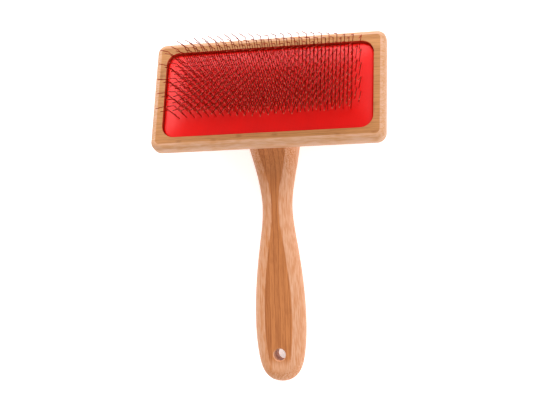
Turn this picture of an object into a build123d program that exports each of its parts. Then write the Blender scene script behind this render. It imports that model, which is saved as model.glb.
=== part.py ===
from build123d import *
import os
from math import cos, radians, sin, tan

# A slicker brush lying on the flat back of its handle, pins up. Millimetres.
# X runs across the head, +Y from the handle's butt towards the head, +Z up.
# The origin is on the handle's flat back, under the middle of the head's back face.

os.makedirs("parts", exist_ok=True)

# ---- driving dimensions -------------------------------------------------------------

# Head: one bamboo board with a pocket milled into its front.
HEAD_TILT = 18.5            # degrees that the head leans back from the handle's plane
HEAD_CENTRE_HEIGHT = 14.65  # the back face's middle, above the handle's flat back
HEAD_WIDTH = 133.0
HEAD_HEIGHT = 65.8
HEAD_THICK = 11.0
HEAD_CORNER = 5.3
FRONT_ROUND = 3.2
BACK_ROUND = 5.0
RIM = 6.6
POCKET_CORNER = 7.3
POCKET_FLOOR = 3.6          # wood left under the pocket

# Handle: a bullnosed bamboo board with a foot that is glued and screwed to the head.
HANDLE_THICK = 14.0
HANDLE_ROUND = 6.7
FOOT_HALF = 15.0
FOOT_END = 18.0             # the foot's round end, under the head
FOOT_SHOULDER = -14.0
BUTT_END = -161.1
FLARE = (11.4, -42.0)       # half width and place along the handle
NECK = (8.6, -60.0)
SWELL = (11.0, -84.5)
BELLY = (14.5, -124.0)
BELLY_END = (13.3, -144.8)
BUTT_CORNER = (9.4, -156.6)
COVE_FRONT = -25.0          # where the cove meets the head's back face
COVE_FOOT = -46.0           # where it runs out into the handle's front face
HANG_HOLE_Y = -145.7
HANG_HOLE_R = 3.35
HANG_HOLE_BREAK = 0.5
RIM_MATCH = 0.01            # a rim belongs to the hole if its radius is this close

# Two countersunk wood screws from the pocket's floor into the foot.
SCREW_YS = (-14.0, 7.0)
SCREW_HEAD_R = 3.5
SCREW_HEAD_DEPTH = 2.0
SCREW_SHANK_R = 1.75
SCREW_CORE_R = 1.2
SCREW_CREST_R = 1.8
SCREW_PITCH = 1.6
SCREW_THREADS = 5
SCREW_POINT = 2.0
SHANK_END = -0.4            # the thread starts just inside the foot
SCREW_HOLE_R = 2.0
SINK_GAP = 0.1
DRIVE_SLOT = 0.9
DRIVE_LENGTH = 3.6
DRIVE_DEPTH = 1.0

# Sprung pad: sponge cushion, woven base cloth and rubber facing, all crowned alike.
PAD_GAP = 0.3
PAD_EDGE = 8.8              # the facing's edge, above the head's back face
FACING_THICK = 1.4
CLOTH_THICK = 1.2
CROWN = 1.6                 # how far the middle stands above the edge
CROWN_SLOPE = 6.0
CROWN_CORNER = 1.0

# Pins: wire staples, each with two bent legs, set in rows across the pad.
WIRE_R = 0.21
LEG_PITCH = 4.2
STAPLE_PITCH = 2 * LEG_PITCH
ROWS = 19
ROW_PITCH = 2.05
ROW_STEP = 2.1              # each row starts this much further left than the row below
FIRST_ROW = -14.8
FIRST_LEG = -49.6
FIELD_HALF = 52.2
CROWN_LIFT = 0.35           # the staple's crown, above the cloth's underside
LEG = 12.6                  # from crown to knee
TIP = 14.5                  # from knee to point
KNEE_ROUND = 1.0
CROWN_ROUND = 0.6

# How the legs lean and the knees bend, in degrees.
LEAN_BACK = 9.0             # away from the handle, at mid height
LEAN_BACK_GAIN = 0.17       # more for each mm up the head
LEAN_OUT = 2.0              # to the right, at the middle
LEAN_OUT_GAIN = 0.2         # outwards, for each mm from the middle
TOP_SPLAY = 22.0            # extra lean of the top row's middle, on the crown's slope
TOP_SPLAY_FROM = 8.0        # the row height where it begins
TOP_SPLAY_HALF = 52.5       # how far from the middle it dies out
SIDE_SPLAY_LEFT = 17.0      # extra lean of the outermost pins
SIDE_SPLAY_RIGHT = 3.0
SIDE_SPLAY_FROM = 44.0
KNEE_BEND = 58.0            # towards the handle
KNEE_EASE_LEFT = 0.46       # less bend for each mm from the middle
KNEE_EASE_RIGHT = 0.2
TIP_OUT_SHARE = 0.05        # how much of the leg's outward lean the tip keeps
TIP_TURN = 2.0

# ---- derived sizes ------------------------------------------------------------------

POCKET_LENGTH = HEAD_WIDTH - 2 * RIM
POCKET_WIDTH = HEAD_HEIGHT - 2 * RIM
PAD_LENGTH = POCKET_LENGTH - 2 * PAD_GAP
PAD_WIDTH = POCKET_WIDTH - 2 * PAD_GAP
PAD_CORNER = POCKET_CORNER - PAD_GAP
CLOTH_EDGE = PAD_EDGE - FACING_THICK
FOAM_EDGE = CLOTH_EDGE - CLOTH_THICK
CROWN_LEVEL = FOAM_EDGE + CROWN + CROWN_LIFT
LAST_ROW = FIRST_ROW + (ROWS - 1) * ROW_PITCH
THREAD_END = SHANK_END - SCREW_THREADS * SCREW_PITCH
SCREW_END = THREAD_END - SCREW_POINT

tilt = radians(HEAD_TILT)
head_back = Plane(origin=(0, 0, HEAD_CENTRE_HEIGHT), x_dir=(1, 0, 0), z_dir=(0, sin(tilt), cos(tilt)))
head_normal = Axis(head_back.origin, head_back.z_dir)


def head_back_height(y):
    """Height of the head's back face above the table, at a place along the brush."""
    return HEAD_CENTRE_HEIGHT - y * tan(tilt)


def finish(piece, name):
    piece.part.label = name
    export_step(piece.part, f"parts/{name}.step")


# ---- head block ---------------------------------------------------------------------

with BuildPart() as head_block:
    with BuildSketch(head_back):
        RectangleRounded(HEAD_WIDTH, HEAD_HEIGHT, HEAD_CORNER)
    extrude(amount=HEAD_THICK)
    fillet(head_block.faces().sort_by(head_normal)[0].edges(), radius=BACK_ROUND)
    fillet(head_block.faces().sort_by(head_normal)[-1].edges(), radius=FRONT_ROUND)
    with BuildSketch(head_back.offset(HEAD_THICK)):
        RectangleRounded(POCKET_LENGTH, POCKET_WIDTH, POCKET_CORNER)
    extrude(amount=-(HEAD_THICK - POCKET_FLOOR), mode=Mode.SUBTRACT)
    with Locations(head_back.offset(POCKET_FLOOR)):
        with Locations([(0, y) for y in SCREW_YS]):
            CounterSinkHole(SCREW_HOLE_R, SCREW_HEAD_R + SINK_GAP, depth=2 * POCKET_FLOOR)
finish(head_block, "head_block")

# ---- handle -------------------------------------------------------------------------

with BuildPart() as handle:
    with BuildSketch(Plane.XY):
        with BuildLine():
            end_arc = CenterArc((0, FOOT_END - FOOT_HALF), FOOT_HALF, 0, 90)
            side = Line(end_arc @ 0, (FOOT_HALF, FOOT_SHOULDER))
            grip = Spline(
                side @ 1, FLARE, NECK, SWELL, BELLY, BELLY_END, BUTT_CORNER, (0, BUTT_END),
                tangents=[(0, -1), (-1, 0)],
            )
            Line(grip @ 1, end_arc @ 1)
        make_face()
        mirror(about=Plane.YZ)
    extrude(amount=2 * HANDLE_THICK)
    with BuildSketch(Plane.YZ.offset(-2 * FOOT_HALF)):
        with BuildLine():
            back = Line((BUTT_END - 1, 0), (FOOT_END + 1, 0))
            end = Line(back @ 1, (FOOT_END + 1, head_back_height(FOOT_END + 1)))
            seat = Line(end @ 1, (COVE_FRONT, head_back_height(COVE_FRONT)))
            cove = TangentArc((COVE_FOOT, HANDLE_THICK), seat @ 1, tangent=(1, 0))
            front = Line(cove @ 0, (BUTT_END - 1, HANDLE_THICK))
            Line(front @ 1, back @ 0)
        make_face()
    extrude(amount=4 * FOOT_HALF, mode=Mode.INTERSECT)
    back_edges = handle.faces().sort_by(Axis.Z)[0].edges()
    fillet(back_edges, radius=HANDLE_ROUND)
    front_face = handle.faces().filter_by(Plane.XY).sort_by(Axis.Z)[-1]
    cove_face = handle.faces().filter_by(GeomType.CYLINDER).sort_by(SortBy.AREA)[-1]
    front_edges = (front_face.edges() + cove_face.edges()).filter_by(GeomType.LINE, reverse=True)
    fillet(front_edges, radius=HANDLE_ROUND)
    with Locations((0, HANG_HOLE_Y, HANDLE_THICK)):
        Hole(HANG_HOLE_R, depth=HANDLE_THICK)
    hole_rims = handle.edges().filter_by(GeomType.CIRCLE).filter_by(
        lambda edge: abs(edge.radius - HANG_HOLE_R) < RIM_MATCH
    )
    chamfer(hole_rims, length=HANG_HOLE_BREAK)
    with Locations(head_back):
        with Locations([(0, y) for y in SCREW_YS]):
            Hole(SCREW_CORE_R, depth=-SCREW_END)
finish(handle, "handle")

# ---- screws -------------------------------------------------------------------------

with BuildPart() as handle_screws:
    for y in SCREW_YS:
        seat_point = head_back.from_local_coords((0, y, 0))
        screw_axis = Axis(seat_point, head_back.z_dir)
        with BuildSketch(Plane(origin=seat_point, x_dir=(1, 0, 0), z_dir=-head_back.y_dir)):
            with BuildLine():
                outline = [
                    (0, POCKET_FLOOR),
                    (SCREW_HEAD_R, POCKET_FLOOR),
                    (SCREW_SHANK_R, POCKET_FLOOR - SCREW_HEAD_DEPTH),
                    (SCREW_SHANK_R, SHANK_END),
                    (SCREW_CORE_R, SHANK_END),
                ]
                for turn in range(SCREW_THREADS):
                    start = SHANK_END - turn * SCREW_PITCH
                    outline.append((SCREW_CREST_R, start - 0.5 * SCREW_PITCH))
                    outline.append((SCREW_CORE_R, start - SCREW_PITCH))
                outline.append((0, SCREW_END))
                Polyline(*outline, close=True)
            make_face()
        revolve(axis=screw_axis)
        screw_top = Plane(origin=seat_point, x_dir=(1, 0, 0), z_dir=head_back.z_dir).offset(POCKET_FLOOR)
        with BuildSketch(screw_top):
            Rectangle(DRIVE_LENGTH, DRIVE_SLOT)
            Rectangle(DRIVE_SLOT, DRIVE_LENGTH)
        extrude(amount=-DRIVE_DEPTH, mode=Mode.SUBTRACT)
finish(handle_screws, "handle_screws")

# ---- sprung pad ---------------------------------------------------------------------


def pad_outline(height):
    """The pad's outline, at a height above the head's back face."""
    with BuildSketch(head_back.offset(height)) as outline:
        RectangleRounded(PAD_LENGTH, PAD_WIDTH, PAD_CORNER)
    return outline.sketch


def pad_slab(bottom, edge):
    """The straight-sided part of a layer, from its bottom to its edge height."""
    extrude(pad_outline(bottom), amount=edge - bottom)


def crowned_top(edge, mode=Mode.ADD):
    """The sloping crown that stands on a layer's edge height."""
    with BuildSketch(head_back.offset(edge + CROWN)) as flat:
        RectangleRounded(PAD_LENGTH - 2 * CROWN_SLOPE, PAD_WIDTH - 2 * CROWN_SLOPE, CROWN_CORNER)
    loft([pad_outline(edge), flat.sketch], mode=mode)


with BuildPart() as foam_cushion:
    pad_slab(POCKET_FLOOR, FOAM_EDGE)
    crowned_top(FOAM_EDGE)
finish(foam_cushion, "foam_cushion")

with BuildPart() as base_cloth:
    pad_slab(FOAM_EDGE, CLOTH_EDGE)
    crowned_top(CLOTH_EDGE)
    crowned_top(FOAM_EDGE, Mode.SUBTRACT)
finish(base_cloth, "base_cloth")

with BuildPart() as rubber_facing:
    pad_slab(CLOTH_EDGE, PAD_EDGE)
    crowned_top(PAD_EDGE)
    crowned_top(CLOTH_EDGE, Mode.SUBTRACT)
finish(rubber_facing, "rubber_facing")

# ---- pins ---------------------------------------------------------------------------


def direction(out, back):
    """Unit vector in the head's frame, leaning by two angles from the head's normal."""
    out = radians(out)
    back = radians(back)
    return Vector(sin(out) * cos(back), sin(back), cos(out) * cos(back))


def leg_points(x, y):
    """Crown corner, knee and point of one leg, in the head's frame."""
    side = max(0, abs(x) - SIDE_SPLAY_FROM) / (FIELD_HALF - SIDE_SPLAY_FROM)
    out = LEAN_OUT + LEAN_OUT_GAIN * x + side * (SIDE_SPLAY_RIGHT if x > 0 else -SIDE_SPLAY_LEFT)
    top = max(0, y - TOP_SPLAY_FROM) / (LAST_ROW - TOP_SPLAY_FROM) * (1 - (x / TOP_SPLAY_HALF) ** 2)
    back = LEAN_BACK + LEAN_BACK_GAIN * y + TOP_SPLAY * top
    bend = KNEE_BEND - abs(x) * (KNEE_EASE_RIGHT if x > 0 else KNEE_EASE_LEFT)
    corner = Vector(x, y, CROWN_LEVEL)
    knee = corner + direction(out, back) * LEG
    point = knee + direction(TIP_OUT_SHARE * out + TIP_TURN, back - bend) * TIP
    return corner, knee, point


def first_leg(row):
    """Where a row's first leg stands: the rows step sideways and wrap at the field's edge."""
    x = FIRST_LEG - row * ROW_STEP
    while x < -FIELD_HALF:
        x += STAPLE_PITCH
    return x


for row in range(ROWS):
    row_y = FIRST_ROW + row * ROW_PITCH
    with BuildPart() as pin_row:
        x = first_leg(row)
        while x + LEG_PITCH < FIELD_HALF:
            left = leg_points(x, row_y)
            right = leg_points(x + LEG_PITCH, row_y)
            route = [head_back.from_local_coords(p) for p in (*reversed(left), *right)]
            bends = [KNEE_ROUND, CROWN_ROUND, CROWN_ROUND, KNEE_ROUND]
            with BuildLine() as wire:
                FilletPolyline(*route, radius=bends)
            with BuildSketch(Plane(origin=wire.line @ 0, z_dir=wire.line % 0)):
                Circle(WIRE_R)
            sweep(path=wire.line)
            x += STAPLE_PITCH
    finish(pin_row, f"pin_row_{row + 1:02d}")
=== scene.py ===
import math
import random

import bmesh
import bpy
from mathutils import Euler, Matrix, Vector, noise


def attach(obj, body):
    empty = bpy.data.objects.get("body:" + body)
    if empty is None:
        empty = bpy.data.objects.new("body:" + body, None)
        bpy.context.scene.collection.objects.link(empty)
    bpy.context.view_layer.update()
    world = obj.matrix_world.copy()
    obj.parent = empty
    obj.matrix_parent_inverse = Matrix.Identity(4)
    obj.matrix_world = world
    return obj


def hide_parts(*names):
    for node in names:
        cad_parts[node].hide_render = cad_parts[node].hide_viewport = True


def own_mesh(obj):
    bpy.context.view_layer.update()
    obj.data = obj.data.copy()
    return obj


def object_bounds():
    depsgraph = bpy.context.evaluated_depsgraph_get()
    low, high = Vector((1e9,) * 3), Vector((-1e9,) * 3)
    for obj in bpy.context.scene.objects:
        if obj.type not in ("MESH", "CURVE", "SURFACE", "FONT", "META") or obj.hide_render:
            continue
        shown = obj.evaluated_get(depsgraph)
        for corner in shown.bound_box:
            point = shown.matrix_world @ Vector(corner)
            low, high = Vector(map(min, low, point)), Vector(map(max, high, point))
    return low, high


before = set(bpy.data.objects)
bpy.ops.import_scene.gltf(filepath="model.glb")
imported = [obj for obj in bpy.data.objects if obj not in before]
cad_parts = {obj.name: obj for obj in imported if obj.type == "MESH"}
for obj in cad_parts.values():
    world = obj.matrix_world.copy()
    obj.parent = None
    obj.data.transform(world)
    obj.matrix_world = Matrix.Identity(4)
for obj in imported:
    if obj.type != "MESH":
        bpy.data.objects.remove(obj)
cad_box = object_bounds()

# A slicker brush: bamboo head and handle, and a sprung red rubber pad set with bent wire pins.
# The brush lies on its handle's flat back, pins up. Lengths are in metres.

MM = 0.001

# ---- driving dimensions -------------------------------------------------------------

# Head frame: X across the head, Y up the head, Z out through the pins.
HEAD_TILT = math.radians(18.5)
HEAD_CENTRE_HEIGHT = 14.65 * MM
HEAD_FRAME = Matrix.Translation((0, 0, HEAD_CENTRE_HEIGHT)) @ Matrix.Rotation(-HEAD_TILT, 4, "X")
HEAD_NORMAL = HEAD_FRAME.to_3x3() @ Vector((0, 0, 1))

POCKET_LENGTH = 119.8 * MM
POCKET_WIDTH = 52.6 * MM

# Pad layers, above the head's back face.
PAD_LENGTH = 119.2 * MM
PAD_WIDTH = 52.0 * MM
PAD_CORNER = 7.0 * MM
PAD_STEP = 0.5 * MM          # size of one cell of the pad's mesh
LAYER_STEP = 1.5 * MM        # the same for the hidden sponge
POCKET_FLOOR = 3.6 * MM
SPONGE_EDGE = 6.2 * MM
CLOTH_EDGE = 7.4 * MM
RUBBER_EDGE = 8.8 * MM
CROWN = 1.6 * MM
CLOTH_SLOPE = 6.0 * MM
RUBBER_SLOPE = 14.0 * MM     # the rubber's crown falls away over this width
RUBBER_ROUND = 0.4 * MM
LAYER_GAP = 0.03 * MM

# Staples, in millimetres: each has two legs, joined by a crown in the cloth.
LEG_PITCH = 4.2
STAPLE_PITCH = 2 * LEG_PITCH
ROWS = 19
ROW_PITCH = 2.05
ROW_STEP = 2.1
FIRST_ROW = -14.8
FIRST_LEG = -49.6
FIELD_HALF = 52.2
CROWN_LEVEL = 8.15
LEG = 12.6
TIP = 14.5
KNEE_ROUND = 1.0
CROWN_ROUND = 0.6

# How the legs lean and the knees bend, in degrees.
LEAN_BACK = 9.0
LEAN_BACK_GAIN = 0.17
LEAN_OUT = 2.0
LEAN_OUT_GAIN = 0.2
TOP_SPLAY = 22.0
TOP_SPLAY_FROM = 8.0
TOP_SPLAY_HALF = 52.5
SIDE_SPLAY_LEFT = 17.0
SIDE_SPLAY_RIGHT = 3.0
SIDE_SPLAY_FROM = 44.0
KNEE_BEND = 58.0
KNEE_EASE_LEFT = 0.46
KNEE_EASE_RIGHT = 0.2
TIP_OUT_SHARE = 0.05
TIP_TURN = 2.0
LEG_SCATTER = 0.6            # spread of the legs' leans, wire to wire
TIP_SCATTER = 1.6            # spread of the tips' directions
LENGTH_SCATTER = 0.02        # the largest share that a tip is shorter by

# Worked wood. The limits are cosines between a surface's normal and a direction.
FLAT_LIMITS = (0.993, 0.999)     # where a flat turns into a rounded edge
SIDE_LIMITS = (0.13, 0.05)       # where the cove turns into the handle's sides
END_GRAIN_LIMITS = (0.1, 0.5)    # where a surface starts to cut across the fibres
COVE_START = -54 * MM
COVE_BLEND = 6 * MM
BUTT_FADE = (-153 * MM, -147 * MM)

# Wire mesh.
WIRE_R = 0.21 * MM
WIRE_SIDES = 8
BEND_STEPS = 5
CUT_LENGTH = 0.12 * MM       # the burr at a cut end
CUT_SHARE = 0.6              # of the wire's radius left at the end
GLINT_LENGTH = 1.6          # how far the painted glint reaches down a tip, in millimetres
GLINT_RINGS = 2             # rings at each end that are painted bright, as a glint

# Where the wires draw the rubber in.
PIT_DEPTH = 0.2 * MM
PIT_RADIUS = 0.6 * MM
PIT_BIN = 4                  # cells of the pad's mesh along one side of a bin of pits
RIPPLE = 0.06 * MM
RIPPLE_SCALE = 90.0          # waves in the rubber for each metre, roughly

random.seed(19)


# ---- meshes -------------------------------------------------------------------------


def new_piece(name, bm, material):
    """A shown mesh object, smooth all over, with its faces turned outwards."""
    bmesh.ops.recalc_face_normals(bm, faces=bm.faces)
    mesh = bpy.data.meshes.new(name)
    bm.to_mesh(mesh)
    bm.free()
    mesh.materials.append(material)
    for face in mesh.polygons:
        face.use_smooth = True
    piece = bpy.data.objects.new(name, mesh)
    bpy.context.collection.objects.link(piece)
    return piece


def round_corner(x, y):
    """Moves a point of a rectangle's grid so that the corners become quarter discs."""
    over_x = (abs(x) - PAD_LENGTH / 2 + PAD_CORNER) / PAD_CORNER
    over_y = (abs(y) - PAD_WIDTH / 2 + PAD_CORNER) / PAD_CORNER
    if over_x <= 0 or over_y <= 0:
        return x, y
    pull = max(over_x, over_y) / math.hypot(over_x, over_y)
    new_x = PAD_LENGTH / 2 - PAD_CORNER + over_x * pull * PAD_CORNER
    new_y = PAD_WIDTH / 2 - PAD_CORNER + over_y * pull * PAD_CORNER
    return math.copysign(new_x, x), math.copysign(new_y, y)


def edge_distance(x, y):
    """How far inside the pad's outline a point is."""
    over_x = abs(x) - PAD_LENGTH / 2 + PAD_CORNER
    over_y = abs(y) - PAD_WIDTH / 2 + PAD_CORNER
    outside = math.hypot(max(over_x, 0), max(over_y, 0))
    inside = min(max(over_x, over_y), 0)
    return max(0, PAD_CORNER - outside - inside)


def straight_crown(x, y, edge):
    """A crown with a plain slope, as the cloth has."""
    return edge + CROWN * min(edge_distance(x, y) / CLOTH_SLOPE, 1)


def soft_crown(x, y, edge):
    """The rubber's crown: an eased dome, and a rolled lip at the outline."""
    inside = edge_distance(x, y)
    rise = 1
    for reach in (PAD_LENGTH / 2 - abs(x), PAD_WIDTH / 2 - abs(y)):
        rise *= math.sin(min(max(reach, 0) / RUBBER_SLOPE, 1) * math.pi / 2)
    lip = max(0, 1 - inside / RUBBER_ROUND)
    drop = RUBBER_ROUND * (1 - math.sqrt(1 - lip * lip))
    ripple = RIPPLE * noise.noise(Vector((x, y, edge)) * RIPPLE_SCALE)
    return edge + CROWN * rise - drop + ripple * rise


def layer_mesh(step, bottom, top):
    """A closed layer of the pad, between two functions that give heights in the head's frame."""
    columns = round(PAD_LENGTH / step)
    rows = round(PAD_WIDTH / step)
    bm = bmesh.new()
    sheets = []
    for height in (bottom, top):
        sheet = []
        for j in range(rows + 1):
            line = []
            for i in range(columns + 1):
                flat_x = PAD_LENGTH * (i / columns - 0.5)
                flat_y = PAD_WIDTH * (j / rows - 0.5)
                x, y = round_corner(flat_x, flat_y)
                line.append(bm.verts.new(HEAD_FRAME @ Vector((x, y, height(x, y)))))
            sheet.append(line)
        sheets.append(sheet)
        for j in range(rows):
            for i in range(columns):
                bm.faces.new((sheet[j][i], sheet[j][i + 1], sheet[j + 1][i + 1], sheet[j + 1][i]))
    rims = []
    for sheet in sheets:
        right = [line[-1] for line in sheet[1:-1]]
        left = [line[0] for line in sheet[-2:0:-1]]
        rims.append(sheet[0] + right + sheet[-1][::-1] + left)
    low, high = rims
    for k in range(len(low)):
        bm.faces.new((low[k - 1], low[k], high[k], high[k - 1]))
    return bm


def direction(out, back):
    """Unit vector in the head's frame, leaning by two angles in degrees from its normal."""
    out = math.radians(out)
    back = math.radians(back)
    return Vector((math.sin(out) * math.cos(back), math.sin(back), math.cos(out) * math.cos(back)))


def leg_points(x, y):
    """Crown corner, knee and point of one leg, in millimetres in the head's frame."""
    side = max(0, abs(x) - SIDE_SPLAY_FROM) / (FIELD_HALF - SIDE_SPLAY_FROM)
    last_row = FIRST_ROW + (ROWS - 1) * ROW_PITCH
    top = max(0, y - TOP_SPLAY_FROM) / (last_row - TOP_SPLAY_FROM) * (1 - (x / TOP_SPLAY_HALF) ** 2)
    out = LEAN_OUT + LEAN_OUT_GAIN * x + side * (SIDE_SPLAY_RIGHT if x > 0 else -SIDE_SPLAY_LEFT)
    back = LEAN_BACK + LEAN_BACK_GAIN * y + TOP_SPLAY * top
    bend = KNEE_BEND - abs(x) * (KNEE_EASE_RIGHT if x > 0 else KNEE_EASE_LEFT)
    leg_turn = direction(out + random.gauss(0, LEG_SCATTER), back + random.gauss(0, LEG_SCATTER))
    tip_out = TIP_OUT_SHARE * out + TIP_TURN + random.gauss(0, TIP_SCATTER)
    tip_turn = direction(tip_out, back - bend + random.gauss(0, TIP_SCATTER))
    corner = Vector((x, y, CROWN_LEVEL))
    knee = corner + leg_turn * LEG
    point = knee + tip_turn * TIP * random.uniform(1 - LENGTH_SCATTER, 1)
    return corner, knee, point


def first_leg(row):
    """Where a row's first leg stands: the rows step sideways and wrap at the field's edge."""
    x = FIRST_LEG - row * ROW_STEP
    while x < -FIELD_HALF:
        x += STAPLE_PITCH
    return x


def bend_points(before, corner, after, radius):
    """Points along the rounded bend of a wire at one corner."""
    arm_in = (before - corner).normalized()
    arm_out = (after - corner).normalized()
    half = arm_in.angle(arm_out) / 2
    reach = radius / math.tan(half)
    start = corner + arm_in * reach
    end = corner + arm_out * reach
    points = []
    for k in range(BEND_STEPS + 1):
        t = k / BEND_STEPS
        points.append(start * (1 - t) ** 2 + corner * 2 * t * (1 - t) + end * t * t)
    return points


def staple_path(left, right):
    """The line of a staple from one point to the other, in millimetres."""
    corners = [*reversed(left), *right]
    radii = (KNEE_ROUND, CROWN_ROUND, CROWN_ROUND, KNEE_ROUND)
    start_glint = corners[0].lerp(corners[1], GLINT_LENGTH / TIP)
    end_glint = corners[-1].lerp(corners[-2], GLINT_LENGTH / TIP)
    path = [corners[0], start_glint]
    for k, radius in enumerate(radii, start=1):
        path += bend_points(corners[k - 1], corners[k], corners[k + 1], radius)
    return path + [end_glint, corners[-1]]


def add_wire(bm, tip_glint, tone, path, shade):
    """A round wire along a path, with a small burr at each cut end."""
    points = [HEAD_FRAME @ (p * MM) for p in path]
    first_cut = points[0].lerp(points[1], CUT_LENGTH / (points[1] - points[0]).length)
    last_cut = points[-1].lerp(points[-2], CUT_LENGTH / (points[-2] - points[-1]).length)
    points = [points[0], first_cut, *points[1:-1], last_cut, points[-1]]
    ends = (0, len(points) - 1)
    rings = []
    side = (points[1] - points[0]).orthogonal().normalized()
    for k, point in enumerate(points):
        along = (points[min(k + 1, ends[1])] - points[max(k - 1, 0)]).normalized()
        side = (side - along * side.dot(along)).normalized()
        across = along.cross(side)
        radius = WIRE_R * (CUT_SHARE if k in ends else 1)
        ring = []
        for turn in range(WIRE_SIDES):
            angle = 2 * math.pi * turn / WIRE_SIDES
            vert = bm.verts.new(point + (side * math.cos(angle) + across * math.sin(angle)) * radius)
            # The rings near each end carry the painted glint.
            vert[tip_glint] = 1.0 if min(k, ends[1] - k) < GLINT_RINGS else 0.0
            vert[tone] = shade
            ring.append(vert)
        rings.append(ring)
    for low, high in zip(rings, rings[1:]):
        for k in range(WIRE_SIDES):
            bm.faces.new((low[k - 1], low[k], high[k], high[k - 1]))
    bm.faces.new(rings[0][::-1])
    bm.faces.new(rings[-1])


# ---- shader helpers -----------------------------------------------------------------


def paint(red, green, blue):
    """A colour given as it looks on a screen, from 0 to 255, turned into a shader's colour."""
    levels = [c / 255 for c in (red, green, blue)]
    linear = [c / 12.92 if c <= 0.04045 else ((c + 0.055) / 1.055) ** 2.4 for c in levels]
    return (*linear, 1.0)


def feed(tree, node, inputs):
    """Links or sets a node's inputs. They are values or sockets, by the input's name or number."""
    for name, value in inputs.items():
        if isinstance(value, bpy.types.NodeSocket):
            tree.links.new(value, node.inputs[name])
        else:
            node.inputs[name].default_value = value


def put(tree, kind, inputs=None, **settings):
    """Adds a node and feeds its inputs."""
    node = tree.nodes.new(kind)
    for name, value in settings.items():
        setattr(node, name, value)
    feed(tree, node, inputs or {})
    return node


def calc(tree, operation, *values):
    """One step of arithmetic on numbers."""
    return put(tree, "ShaderNodeMath", dict(enumerate(values)), operation=operation).outputs[0]


def calc_vector(tree, operation, first, second):
    """One step of arithmetic on places or directions."""
    return put(tree, "ShaderNodeVectorMath", {0: first, 1: second}, operation=operation).outputs[0]


def cloudy(tree, place, scale, detail):
    """Soft random clouds, around a half."""
    inputs = {"Vector": place, "Scale": scale, "Detail": detail}
    return put(tree, "ShaderNodeTexNoise", inputs).outputs[0]


def draw(tree, number):
    """A random number from 0 to 1 that stays the same for the same number."""
    inputs = {"W": number}
    return put(tree, "ShaderNodeTexWhiteNoise", inputs, noise_dimensions="1D").outputs["Value"]


def blend_colours(tree, share, first, second):
    """Mixes two colours; a Mix node's colour inputs are numbers 6 and 7, and its result is 2."""
    inputs = {0: share, 6: first, 7: second}
    return put(tree, "ShaderNodeMix", inputs, data_type="RGBA").outputs[2]


def fade(tree, value, start, end, low=0.0, high=1.0):
    """Turns a value's rise from start to end into a smooth rise from low to high."""
    inputs = {"Value": value, "From Min": start, "From Max": end, "To Min": low, "To Max": high}
    return put(tree, "ShaderNodeMapRange", inputs, interpolation_type="SMOOTHSTEP").outputs[0]


def new_group(name, inputs, outputs):
    """An empty shader node group with named sockets. Inputs are (name, kind, default)."""
    tree = bpy.data.node_groups.new(name, "ShaderNodeTree")
    for label, kind, default in inputs:
        socket = tree.interface.new_socket(label, in_out="INPUT", socket_type="NodeSocket" + kind)
        if default is not None:
            socket.default_value = default
    for label, kind in outputs:
        tree.interface.new_socket(label, in_out="OUTPUT", socket_type="NodeSocket" + kind)
    return tree, tree.nodes.new("NodeGroupInput").outputs, tree.nodes.new("NodeGroupOutput").inputs


def use_group(tree, group, inputs):
    """Places a group in a tree and gives its outputs."""
    node = tree.nodes.new("ShaderNodeGroup")
    node.node_tree = group
    feed(tree, node, inputs)
    return node.outputs


def new_material(name):
    """A material with its node tree and its Principled shader."""
    material = bpy.data.materials.new(name)
    material.use_nodes = True
    tree = material.node_tree
    return material, tree, tree.nodes["Principled BSDF"]


# ---- shared effects -----------------------------------------------------------------

# The figure of laminated bamboo. Places are in millimetres, with X along the grain.
SWAY_SCALE = 0.03                # how quickly a strip wanders
SWAY_REACH = 2.0                 # how far it wanders
SEAM_SHARE = 0.06                # of a strip's width, at each glued side
SEAM_SINK = 0.5                  # how deep a seam is, next to the fibres' relief
STRIP_SHIFT = 37.0               # slides the fibres of one strip away from the next one's
FIBRE_STRETCH = (0.05, 1.0, 1.0)
FIBRE_COARSE = 1.1
FIBRE_FINE = 4.5
COARSE_SHARE = 0.6
FIBRE_DARKENS = (0.42, 0.62)
FIBRE_DULLS = (0.3, 0.7)
FLECK_STRETCH = (0.1, 1.0, 1.0)
FLECK_SCALE = 1.5
FLECK_DARKENS = (0.38, 0.64)
FLECK_DARK = 0.56
NODE_REPEAT = 45.0               # each such length of a strip mirrors the one before it
NODE_PLACE = 10.0                # where the node mark falls in it
NODE_FADE = (0.4, 2.6)           # from the mark's middle to its end
SECOND_DRAW = 0.5                # added to a strip's number, for another random draw
PORE_SCALE = 1.5
PORE_DARKENS = (0.44, 0.6)
PORE_RANGE = (-0.12, 0.62)       # how much lighter and darker end grain gets
EDGE_FIGURE = 0.55               # how much of the face's figure shows on worked edges

HOLLOW_LEVEL = 0.4               # below this, a relief counts as hollow, where the finishes paint shade
CLOUD_RANGE = (0.3, 0.7)         # where clouds run from their least to their most


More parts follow.
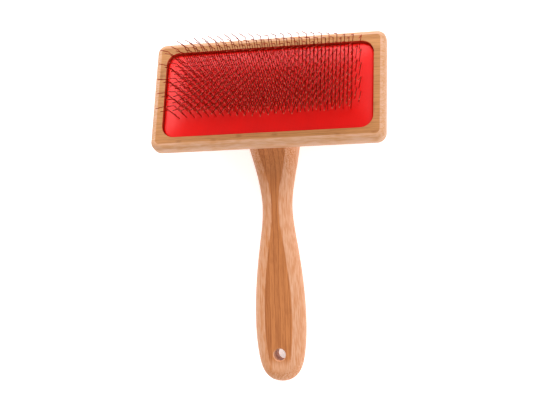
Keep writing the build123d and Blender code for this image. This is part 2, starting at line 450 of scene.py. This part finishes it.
def bamboo_figure(tree, given):
    """The strips, fibres, flecks and node marks: how dark each spot is, and its height."""
    along = put(tree, "ShaderNodeSeparateXYZ", {0: given["Place"]}).outputs["X"]
    across = put(tree, "ShaderNodeSeparateXYZ", {0: given["Place"]}).outputs["Y"]
    sway = cloudy(tree, given["Place"], SWAY_SCALE, detail=1.0)
    across = calc(tree, "MULTIPLY_ADD", sway, SWAY_REACH, across)
    strip = calc(tree, "DIVIDE", across, given["Strip Width"])
    index = calc(tree, "FLOOR", strip)
    within = calc(tree, "FRACT", strip)
    from_side = calc(tree, "MINIMUM", within, calc(tree, "SUBTRACT", 1.0, within))
    seam = fade(tree, from_side, 0.0, SEAM_SHARE, low=1.0, high=0.0)
    tint = draw(tree, index)

    shift = put(tree, "ShaderNodeCombineXYZ", {"X": calc(tree, "MULTIPLY", tint, STRIP_SHIFT)}).outputs[0]
    stretched = calc_vector(tree, "MULTIPLY", given["Place"], FIBRE_STRETCH)
    fibre_place = calc_vector(tree, "ADD", stretched, shift)
    coarse = calc(tree, "MULTIPLY", cloudy(tree, fibre_place, FIBRE_COARSE, detail=3.0), COARSE_SHARE)
    fine = cloudy(tree, fibre_place, FIBRE_FINE, detail=2.0)
    fibre = calc(tree, "MULTIPLY_ADD", fine, 1.0 - COARSE_SHARE, coarse)
    fleck_place = calc_vector(tree, "MULTIPLY", given["Place"], FLECK_STRETCH)
    fleck = cloudy(tree, fleck_place, FLECK_SCALE, detail=4.0)

    slide = draw(tree, calc(tree, "ADD", index, SECOND_DRAW))
    slid = calc(tree, "MULTIPLY_ADD", slide, 2 * NODE_REPEAT, along)
    mark_place = calc(tree, "PINGPONG", slid, NODE_REPEAT)
    from_mark = calc(tree, "ABSOLUTE", calc(tree, "SUBTRACT", mark_place, NODE_PLACE))
    mark = calc(tree, "MULTIPLY", fade(tree, from_mark, *NODE_FADE, low=1.0, high=0.0), fleck)

    dark = calc(tree, "MULTIPLY", fade(tree, fibre, *FIBRE_DARKENS), given["Fibre Contrast"])
    dark = calc(tree, "MULTIPLY_ADD", tint, given["Strip Contrast"], dark)
    dark = calc(tree, "MULTIPLY_ADD", seam, given["Seam Contrast"], dark)
    dark = calc(tree, "MULTIPLY_ADD", mark, given["Node Marks"], dark)
    dark = put(tree, "ShaderNodeClamp", {"Value": dark}).outputs[0]
    height = calc(tree, "SUBTRACT", fibre, calc(tree, "MULTIPLY", seam, SEAM_SINK))
    return dark, fleck, fibre, height


def make_bamboo_group():
    """Laminated bamboo: glued strips, stretched fibres, node marks and pale worked edges."""
    tree, given, out = new_group(
        "laminated_bamboo",
        [
            ("Place", "Vector", None),
            ("Face Share", "Float", 1.0),
            ("Face", "Color", (0.5, 0.3, 0.15, 1)),
            ("Face Dark", "Color", (0.3, 0.15, 0.07, 1)),
            ("Edge", "Color", (0.7, 0.45, 0.3, 1)),
            ("Strip Width", "Float", 4.0),
            ("Strip Contrast", "Float", 0.4),
            ("Fibre Contrast", "Float", 0.5),
            ("Node Marks", "Float", 0.3),
            ("Seam Contrast", "Float", 0.3),
            ("End Grain", "Float", 0.0),
        ],
        [("Color", "Color"), ("Height", "Float"), ("Dullness", "Float")],
    )
    dark, fleck, fibre, height = bamboo_figure(tree, given)
    face = blend_colours(tree, dark, given["Face"], given["Face Dark"])
    mottle = fade(tree, fleck, *FLECK_DARKENS, 0.0, FLECK_DARK)
    pores = cloudy(tree, given["Place"], PORE_SCALE, detail=1.0)
    pores = fade(tree, pores, *PORE_DARKENS, *PORE_RANGE)
    edge_dark = calc(tree, "MULTIPLY_ADD", dark, EDGE_FIGURE, mottle)
    edge_dark = calc(tree, "MULTIPLY_ADD", pores, given["End Grain"], edge_dark)
    edge_dark = put(tree, "ShaderNodeClamp", {"Value": edge_dark}).outputs[0]
    edge = blend_colours(tree, edge_dark, given["Edge"], given["Face"])
    tree.links.new(blend_colours(tree, given["Face Share"], edge, face), out["Color"])
    tree.links.new(height, out["Height"])
    tree.links.new(fade(tree, fibre, *FIBRE_DULLS), out["Dullness"])
    return tree


def make_relief_group():
    """A fine crossed relief, as woven threads have, or rubber that was cured against cloth."""
    tree, given, out = new_group(
        "crossed_relief",
        [("Place", "Vector", None), ("Pitch", "Float", 1.0), ("Turn", "Float", 0.0)],
        [("Height", "Float"), ("Hollows", "Float")],
    )
    turn_inputs = {"Vector": given["Place"], "Angle": given["Turn"]}
    turned = put(tree, "ShaderNodeVectorRotate", turn_inputs, rotation_type="Z_AXIS")
    axes = put(tree, "ShaderNodeSeparateXYZ", {0: turned.outputs[0]}).outputs
    waves = []
    for name in ("X", "Y"):
        phase = calc(tree, "MULTIPLY", calc(tree, "DIVIDE", axes[name], given["Pitch"]), 2 * math.pi)
        waves.append(calc(tree, "SINE", phase))
    height = calc(tree, "MULTIPLY_ADD", calc(tree, "MULTIPLY", *waves), 0.5, 0.5)
    tree.links.new(height, out["Height"])
    # Hollows: where the relief is low; finishes darken it there as painted shade.
    tree.links.new(fade(tree, height, 0.0, HOLLOW_LEVEL, low=1.0, high=0.0), out["Hollows"])
    return tree


def make_unevenness_group():
    """Slow and fine variation that breaks up a plain finish."""
    tree, given, out = new_group(
        "unevenness",
        [
            ("Place", "Vector", None),
            ("Size", "Float", 10.0),
            ("Least", "Float", 0.3),
            ("Most", "Float", 0.5),
        ],
        [("Value", "Float"), ("Cloud", "Float")],
    )
    cloud = cloudy(tree, given["Place"], calc(tree, "DIVIDE", 1.0, given["Size"]), detail=4.0)
    from_min, from_max = CLOUD_RANGE
    ends = {"From Min": from_min, "From Max": from_max, "To Min": given["Least"], "To Max": given["Most"]}
    spread = put(tree, "ShaderNodeMapRange", {"Value": cloud, **ends})
    tree.links.new(spread.outputs[0], out["Value"])
    tree.links.new(cloud, out["Cloud"])
    return tree


bamboo_group = make_bamboo_group()
relief_group = make_relief_group()
unevenness_group = make_unevenness_group()


def place_in_mm(tree, turn=(0, 0, 0), start=(0, 0, 0)):
    """A spot's place from a start, in millimetres, after a turn about that start."""
    spot = put(tree, "ShaderNodeTexCoord").outputs["Object"]
    inputs = {"Vector": spot, "Center": start, "Rotation": turn}
    about = put(tree, "ShaderNodeVectorRotate", inputs, rotation_type="EULER_XYZ").outputs[0]
    turned = calc_vector(tree, "SUBTRACT", about, start)
    return calc_vector(tree, "MULTIPLY", turned, (1 / MM,) * 3)


def facing(tree, towards, start, end):
    """A smooth rise from 0 to 1, as the cosine to a direction goes from start to end."""
    normal = put(tree, "ShaderNodeTexCoord").outputs["Normal"]
    dot = put(tree, "ShaderNodeVectorMath", {0: normal, 1: towards}, operation="DOT_PRODUCT")
    return fade(tree, calc(tree, "ABSOLUTE", dot.outputs["Value"]), start, end)


def add_bump(tree, shader, height, strength, distance):
    """Raises a shader's surface where a height is greater, over a distance in metres."""
    bump = put(tree, "ShaderNodeBump", {"Height": height, "Strength": strength, "Distance": distance})
    tree.links.new(bump.outputs[0], shader.inputs["Normal"])


def head_flats(tree):
    """The head's flat faces, up to where its rounded edges begin."""
    return facing(tree, HEAD_NORMAL, *FLAT_LIMITS)


def handle_flats(tree):
    """The handle's flat faces and its cove, between the rounded sides."""
    spot = put(tree, "ShaderNodeTexCoord").outputs["Object"]
    along = put(tree, "ShaderNodeSeparateXYZ", {0: spot}).outputs["Y"]
    in_cove = fade(tree, along, COVE_START, COVE_START + COVE_BLEND)
    not_sides = facing(tree, (1, 0, 0), *SIDE_LIMITS)
    level = facing(tree, (0, 0, 1), *FLAT_LIMITS)
    flats = calc(tree, "MULTIPLY", not_sides, calc(tree, "MAXIMUM", level, in_cove))
    return calc(tree, "MULTIPLY", flats, fade(tree, along, *BUTT_FADE))


# ---- materials ----------------------------------------------------------------------

HEAD_BAMBOO = {
    "Face": paint(202, 138, 78),
    "Face Dark": paint(148, 88, 40),
    "Edge": paint(222, 174, 144),
}
HEAD_FIGURE = {
    "Strip Width": 5.5,
    "Strip Contrast": 0.25,
    "Fibre Contrast": 0.4,
    "Node Marks": 0.6,
    "Seam Contrast": 0.2,
}
HEAD_END_GRAIN = 0.3
HANDLE_BAMBOO = {
    "Face": paint(206, 129, 72),
    "Face Dark": paint(144, 72, 24),
    "Edge": paint(230, 174, 138),
}
HANDLE_FIGURE = {
    "Strip Width": 2.8,
    "Strip Contrast": 0.35,
    "Fibre Contrast": 0.34,
    "Node Marks": 0.2,
    "Seam Contrast": 0.75,
}
HANDLE_END_GRAIN = 1.0
ALONG_HEAD = (HEAD_TILT, 0, 0)
ALONG_HANDLE = (0, 0, math.radians(-90))
WOOD_ROUGHNESS = (0.38, 0.56)

# Painted shade and a painted reflection of the red pad on the pocket's walls, in millimetres in the
# head's frame.
WALL_SHADE = paint(190, 62, 38)
WALL_SHADE_FADE = (0.02, 0.2)         # outwards from a wall
WALL_SHADE_START = (2.0, 2.5)         # above the head's back face

RUBBER_BRIGHT = paint(250, 10, 2)
RUBBER_DEEP = paint(232, 6, 1)
RUBBER_DEEP_SHARE = 0.35
RUBBER_HOLLOW_SHADE = paint(170, 4, 4)
RUBBER_HOLLOW_SHADE_SHARE = 0.25
WIRE_BROWN = paint(154, 44, 24)
WIRE_PALE = paint(188, 68, 42)
WIRE_TARNISH = paint(110, 30, 16)
WIRE_TARNISH_SHARE = 0.3
WIRE_GLINT = paint(232, 150, 122)
WIRE_GLINT_SHARE = 0.6
WIRE_SHEEN = paint(200, 84, 54)
THREAD = paint(188, 176, 150)
THREAD_GAP_SHADE = paint(120, 108, 88)
SPONGE_PORE_SHADE = paint(24, 24, 26)
SPONGE_SKIN = paint(62, 62, 66)
SPONGE_CELLS = 1.6               # for each millimetre
SPONGE_PORE_EDGE = 0.6
ZINC_DULL = paint(150, 152, 158)
ZINC_BRIGHT = paint(196, 198, 202)


def pocket_wall_shade(tree, place, flats):
    """The pocket's walls, where shade and the red pad's reflection are painted in as a dark red."""
    axes = put(tree, "ShaderNodeSeparateXYZ", {0: place}).outputs
    shares = []
    for name, half in (("X", POCKET_LENGTH / 2 / MM), ("Y", POCKET_WIDTH / 2 / MM)):
        near, far = (half + away for away in WALL_SHADE_FADE)
        shares.append(fade(tree, calc(tree, "ABSOLUTE", axes[name]), near, far, low=1.0, high=0.0))
    above = fade(tree, axes["Z"], *WALL_SHADE_START)
    inside = calc(tree, "MULTIPLY", calc(tree, "MULTIPLY", *shares), above)
    return calc(tree, "MULTIPLY", inside, calc(tree, "SUBTRACT", 1.0, flats))


def bamboo(name, grain, end_share, turn, flats, look, shade_walls=None):
    """Oiled bamboo. The grain is a direction, and flats gives the surfaces with a sawn face."""
    material, tree, shader = new_material(name)
    place = place_in_mm(tree, turn, (0, 0, HEAD_CENTRE_HEIGHT))
    share = flats(tree)
    end_grain = calc(tree, "MULTIPLY", facing(tree, grain, *END_GRAIN_LIMITS), end_share)
    cut = {"Face Share": share, "End Grain": end_grain}
    wood = use_group(tree, bamboo_group, {"Place": place, **cut, **look})
    colour = wood["Color"]
    # Paints shade and the pad's reflected red onto the pocket's walls, where asked for.
    if shade_walls:
        colour = blend_colours(tree, shade_walls(tree, place, share), colour, WALL_SHADE)
    tree.links.new(colour, shader.inputs["Base Color"])
    tree.links.new(fade(tree, wood["Dullness"], 0.0, 1.0, *WOOD_ROUGHNESS), shader.inputs["Roughness"])
    add_bump(tree, shader, wood["Height"], strength=0.25, distance=0.08 * MM)
    shader.inputs["Specular IOR Level"].default_value = 0.34
    return material


def red_rubber():
    """The pad's face: matt red rubber with a faint crossed grain, and painted shade in the grain's
    hollows.
    """
    material, tree, shader = new_material("red_rubber")
    place = place_in_mm(tree)
    relief = use_group(tree, relief_group, {"Place": place, "Pitch": 1.1, "Turn": math.radians(40)})
    cloud_look = {"Size": 14.0, "Least": 0.3, "Most": 0.38}
    cloud = use_group(tree, unevenness_group, {"Place": place, **cloud_look})
    deep = fade(tree, cloud["Cloud"], *CLOUD_RANGE, 0.0, RUBBER_DEEP_SHARE)
    # Painted shade: the relief's hollows are darkened.
    hollow_shade = calc(tree, "MULTIPLY", relief["Hollows"], RUBBER_HOLLOW_SHADE_SHARE)
    colour = blend_colours(tree, deep, RUBBER_BRIGHT, RUBBER_DEEP)
    colour = blend_colours(tree, hollow_shade, colour, RUBBER_HOLLOW_SHADE)
    tree.links.new(colour, shader.inputs["Base Color"])
    tree.links.new(cloud["Value"], shader.inputs["Roughness"])
    add_bump(tree, shader, relief["Height"], strength=0.12, distance=0.06 * MM)
    shader.inputs["Specular IOR Level"].default_value = 0.3
    return material


def pin_wire():
    """Browned steel wire, each one a little different, with a painted glint on its tips."""
    material, tree, shader = new_material("pin_wire")
    place = place_in_mm(tree)
    tip_glint = put(tree, "ShaderNodeAttribute", attribute_name="tip_glint").outputs["Fac"]
    tone = put(tree, "ShaderNodeAttribute", attribute_name="tone").outputs["Fac"]
    cloud_look = {"Size": 1.5, "Least": 0.42, "Most": 0.58}
    cloud = use_group(tree, unevenness_group, {"Place": place, **cloud_look})
    tarnish = calc(tree, "MULTIPLY", cloud["Cloud"], WIRE_TARNISH_SHARE)
    # Painted highlight: the tips are made pale, standing in for a glint.
    glint = calc(tree, "MULTIPLY", tip_glint, WIRE_GLINT_SHARE)
    colour = blend_colours(tree, tone, WIRE_BROWN, WIRE_PALE)
    colour = blend_colours(tree, tarnish, colour, WIRE_TARNISH)
    colour = blend_colours(tree, glint, colour, WIRE_GLINT)
    tree.links.new(colour, shader.inputs["Base Color"])
    tree.links.new(cloud["Value"], shader.inputs["Roughness"])
    shader.inputs["Metallic"].default_value = 0.85
    shader.inputs["Specular IOR Level"].default_value = 0.1
    shader.inputs["Specular Tint"].default_value = WIRE_SHEEN
    return material


def base_cloth():
    """The pad's woven foundation, under the rubber."""
    material, tree, shader = new_material("cloth")
    relief = use_group(tree, relief_group, {"Place": place_in_mm(tree), "Pitch": 0.8, "Turn": 0.0})
    # Painted shade: the gaps between the threads are darkened.
    colour = blend_colours(tree, relief["Hollows"], THREAD, THREAD_GAP_SHADE)
    tree.links.new(colour, shader.inputs["Base Color"])
    add_bump(tree, shader, relief["Height"], strength=0.6, distance=0.15 * MM)
    shader.inputs["Roughness"].default_value = 0.9
    return material


def sponge_rubber():
    """Dark closed-cell sponge."""
    material, tree, shader = new_material("sponge")
    cells = put(tree, "ShaderNodeTexVoronoi", {"Vector": place_in_mm(tree), "Scale": SPONGE_CELLS})
    depth = fade(tree, cells.outputs["Distance"], 0.0, SPONGE_PORE_EDGE)
    # Painted shade: the pores are darkened.
    tree.links.new(blend_colours(tree, depth, SPONGE_PORE_SHADE, SPONGE_SKIN), shader.inputs["Base Color"])
    add_bump(tree, shader, depth, strength=0.5, distance=0.2 * MM)
    shader.inputs["Roughness"].default_value = 0.85
    return material


def screw_steel():
    """Zinc-plated steel."""
    material, tree, shader = new_material("screw_steel")
    cloud_look = {"Size": 2.0, "Least": 0.22, "Most": 0.4}
    cloud = use_group(tree, unevenness_group, {"Place": place_in_mm(tree), **cloud_look})
    colour = blend_colours(tree, cloud["Cloud"], ZINC_DULL, ZINC_BRIGHT)
    tree.links.new(colour, shader.inputs["Base Color"])
    tree.links.new(cloud["Value"], shader.inputs["Roughness"])
    shader.inputs["Metallic"].default_value = 1.0
    return material


head_look = {**HEAD_BAMBOO, **HEAD_FIGURE}
handle_look = {**HANDLE_BAMBOO, **HANDLE_FIGURE}
# The head's pocket walls get painted shade and a painted red reflection.
head_wood = bamboo(
    "bamboo_head", (1, 0, 0), HEAD_END_GRAIN, ALONG_HEAD, head_flats, head_look, pocket_wall_shade
)
handle_wood = bamboo(
    "bamboo_handle", (0, 1, 0), HANDLE_END_GRAIN, ALONG_HANDLE, handle_flats, handle_look
)

# ---- the object ---------------------------------------------------------------------


def dress(node, material):
    """Gives a carried-over CAD node its finish."""
    for material_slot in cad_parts[node].material_slots:
        material_slot.material = material


dress("head_block", head_wood)
dress("handle", handle_wood)
dress("handle_screws", screw_steel())
dress("base_cloth", base_cloth())

wire = pin_wire()
exits = []
for row in range(ROWS):
    bm = bmesh.new()
    tip_glint = bm.verts.layers.float.new("tip_glint")
    tone = bm.verts.layers.float.new("tone")
    x = first_leg(row)
    y = FIRST_ROW + row * ROW_PITCH
    while x + LEG_PITCH < FIELD_HALF:
        legs = (leg_points(x, y), leg_points(x + LEG_PITCH, y))
        add_wire(bm, tip_glint, tone, staple_path(*legs), random.random())
        for corner, knee, _ in legs:
            rise = (knee - corner) / (knee - corner).z
            top = soft_crown(corner.x * MM, corner.y * MM, RUBBER_EDGE) / MM
            exits.append((corner + rise * (top - CROWN_LEVEL)) * MM)
        x += STAPLE_PITCH
    pins = new_piece(f"pins_{row + 1:02d}", bm, wire)
    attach(pins, "pin_pad")
    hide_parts(f"pin_row_{row + 1:02d}")


def pit_bin(x, y):
    """Which bin of pits a spot of the pad falls in."""
    column = round((x / PAD_LENGTH + 0.5) * round(PAD_LENGTH / PAD_STEP))
    line = round((y / PAD_WIDTH + 0.5) * round(PAD_WIDTH / PAD_STEP))
    return column // PIT_BIN, line // PIT_BIN


pits = {}
for spot in exits:
    pits.setdefault(pit_bin(spot.x, spot.y), []).append(spot)


def pit_depth(x, y):
    """How far the wires near a spot draw the rubber in."""
    column, line = pit_bin(x, y)
    depth = 0
    for i in (column - 1, column, column + 1):
        for j in (line - 1, line, line + 1):
            for spot in pits.get((i, j), ()):
                away = math.hypot(x - spot.x, y - spot.y) / PIT_RADIUS
                depth = max(depth, PIT_DEPTH * math.exp(-away * away))
    return depth


facing_mesh = layer_mesh(
    PAD_STEP,
    lambda x, y: straight_crown(x, y, CLOTH_EDGE) + LAYER_GAP,
    lambda x, y: soft_crown(x, y, RUBBER_EDGE) - pit_depth(x, y),
)
rubber = new_piece("rubber_face", facing_mesh, red_rubber())
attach(rubber, "pin_pad")
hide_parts("rubber_facing")

sponge_mesh = layer_mesh(
    LAYER_STEP,
    lambda x, y: POCKET_FLOOR + LAYER_GAP,
    lambda x, y: straight_crown(x, y, SPONGE_EDGE) - LAYER_GAP,
)
sponge = new_piece("sponge_cushion", sponge_mesh, sponge_rubber())
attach(sponge, "brush_body")
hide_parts("foam_cushion")
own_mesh(sponge)

# ---- floor, light and camera --------------------------------------------------------

FLOOR_HALF = 4.0
FLOOR_GLOW = 0.5
WORLD_LIGHT = 0.36           # the backdrop itself looks white, whatever light it gives
CAMERA_PLACE = (0.13699, -0.07832, 0.63030)
CAMERA_TURN = (1.080, 12.568, -1.873)
CAMERA_LENS = 72.99

low, high = cad_box
middle = (low + high) / 2
span = (high - low).length

floor_mesh = bmesh.new()
corners = [(-1, -1), (1, -1), (1, 1), (-1, 1)]
floor_mesh.faces.new([floor_mesh.verts.new((i * FLOOR_HALF, j * FLOOR_HALF, 0)) for i, j in corners])
floor_paint, _, floor_shader = new_material("studio_floor")
floor_shader.inputs["Base Color"].default_value = paint(250, 250, 250)
floor_shader.inputs["Roughness"].default_value = 0.8
floor_shader.inputs["Emission Color"].default_value = (1, 1, 1, 1)
floor_shader.inputs["Emission Strength"].default_value = FLOOR_GLOW
floor = new_piece("studio_floor", floor_mesh, floor_paint)


def softbox(name, towards, size, power):
    """A square light that faces the brush's middle, at a distance counted in brush spans."""
    light = bpy.data.lights.new(name, "AREA")
    light.shape = "SQUARE"
    light.size = size * span
    light.energy = power
    lamp = bpy.data.objects.new(name, light)
    lamp.location = middle + Vector(towards) * span
    lamp.rotation_euler = (middle - lamp.location).to_track_quat("-Z", "Y").to_euler()
    bpy.context.collection.objects.link(lamp)


softbox("right_softbox", (2.4, 2.7, 2.5), size=1.8, power=2.6)
softbox("side_softbox", (3.6, -0.6, 1.6), size=2.4, power=1.6)
softbox("high_softbox", (0.8, -0.9, 3.6), size=1.6, power=1.7)
softbox("left_softbox", (-2.8, 2.4, 2.0), size=2.2, power=3.4)
softbox("near_softbox", (0.6, -3.4, 1.4), size=3.0, power=1.5)
softbox("far_softbox", (-0.6, 3.7, 1.8), size=2.2, power=4.2)

world = bpy.data.worlds.new("studio")
world.use_nodes = True
backdrop = world.node_tree.nodes["Background"]
backdrop.inputs["Color"].default_value = (1, 1, 1, 1)
seen = put(world.node_tree, "ShaderNodeLightPath").outputs["Is Camera Ray"]
backdrop_glow = calc(world.node_tree, "MULTIPLY_ADD", seen, 1.0 - WORLD_LIGHT, WORLD_LIGHT)
world.node_tree.links.new(backdrop_glow, backdrop.inputs["Strength"])
bpy.context.scene.world = world
bpy.context.scene.view_settings.view_transform = "Standard"

camera_data = bpy.data.cameras.new("camera")
camera_data.lens = CAMERA_LENS
camera = bpy.data.objects.new("camera", camera_data)
camera.location = CAMERA_PLACE
camera.rotation_euler = Euler([math.radians(a) for a in CAMERA_TURN])
bpy.context.collection.objects.link(camera)
bpy.context.scene.camera = camera
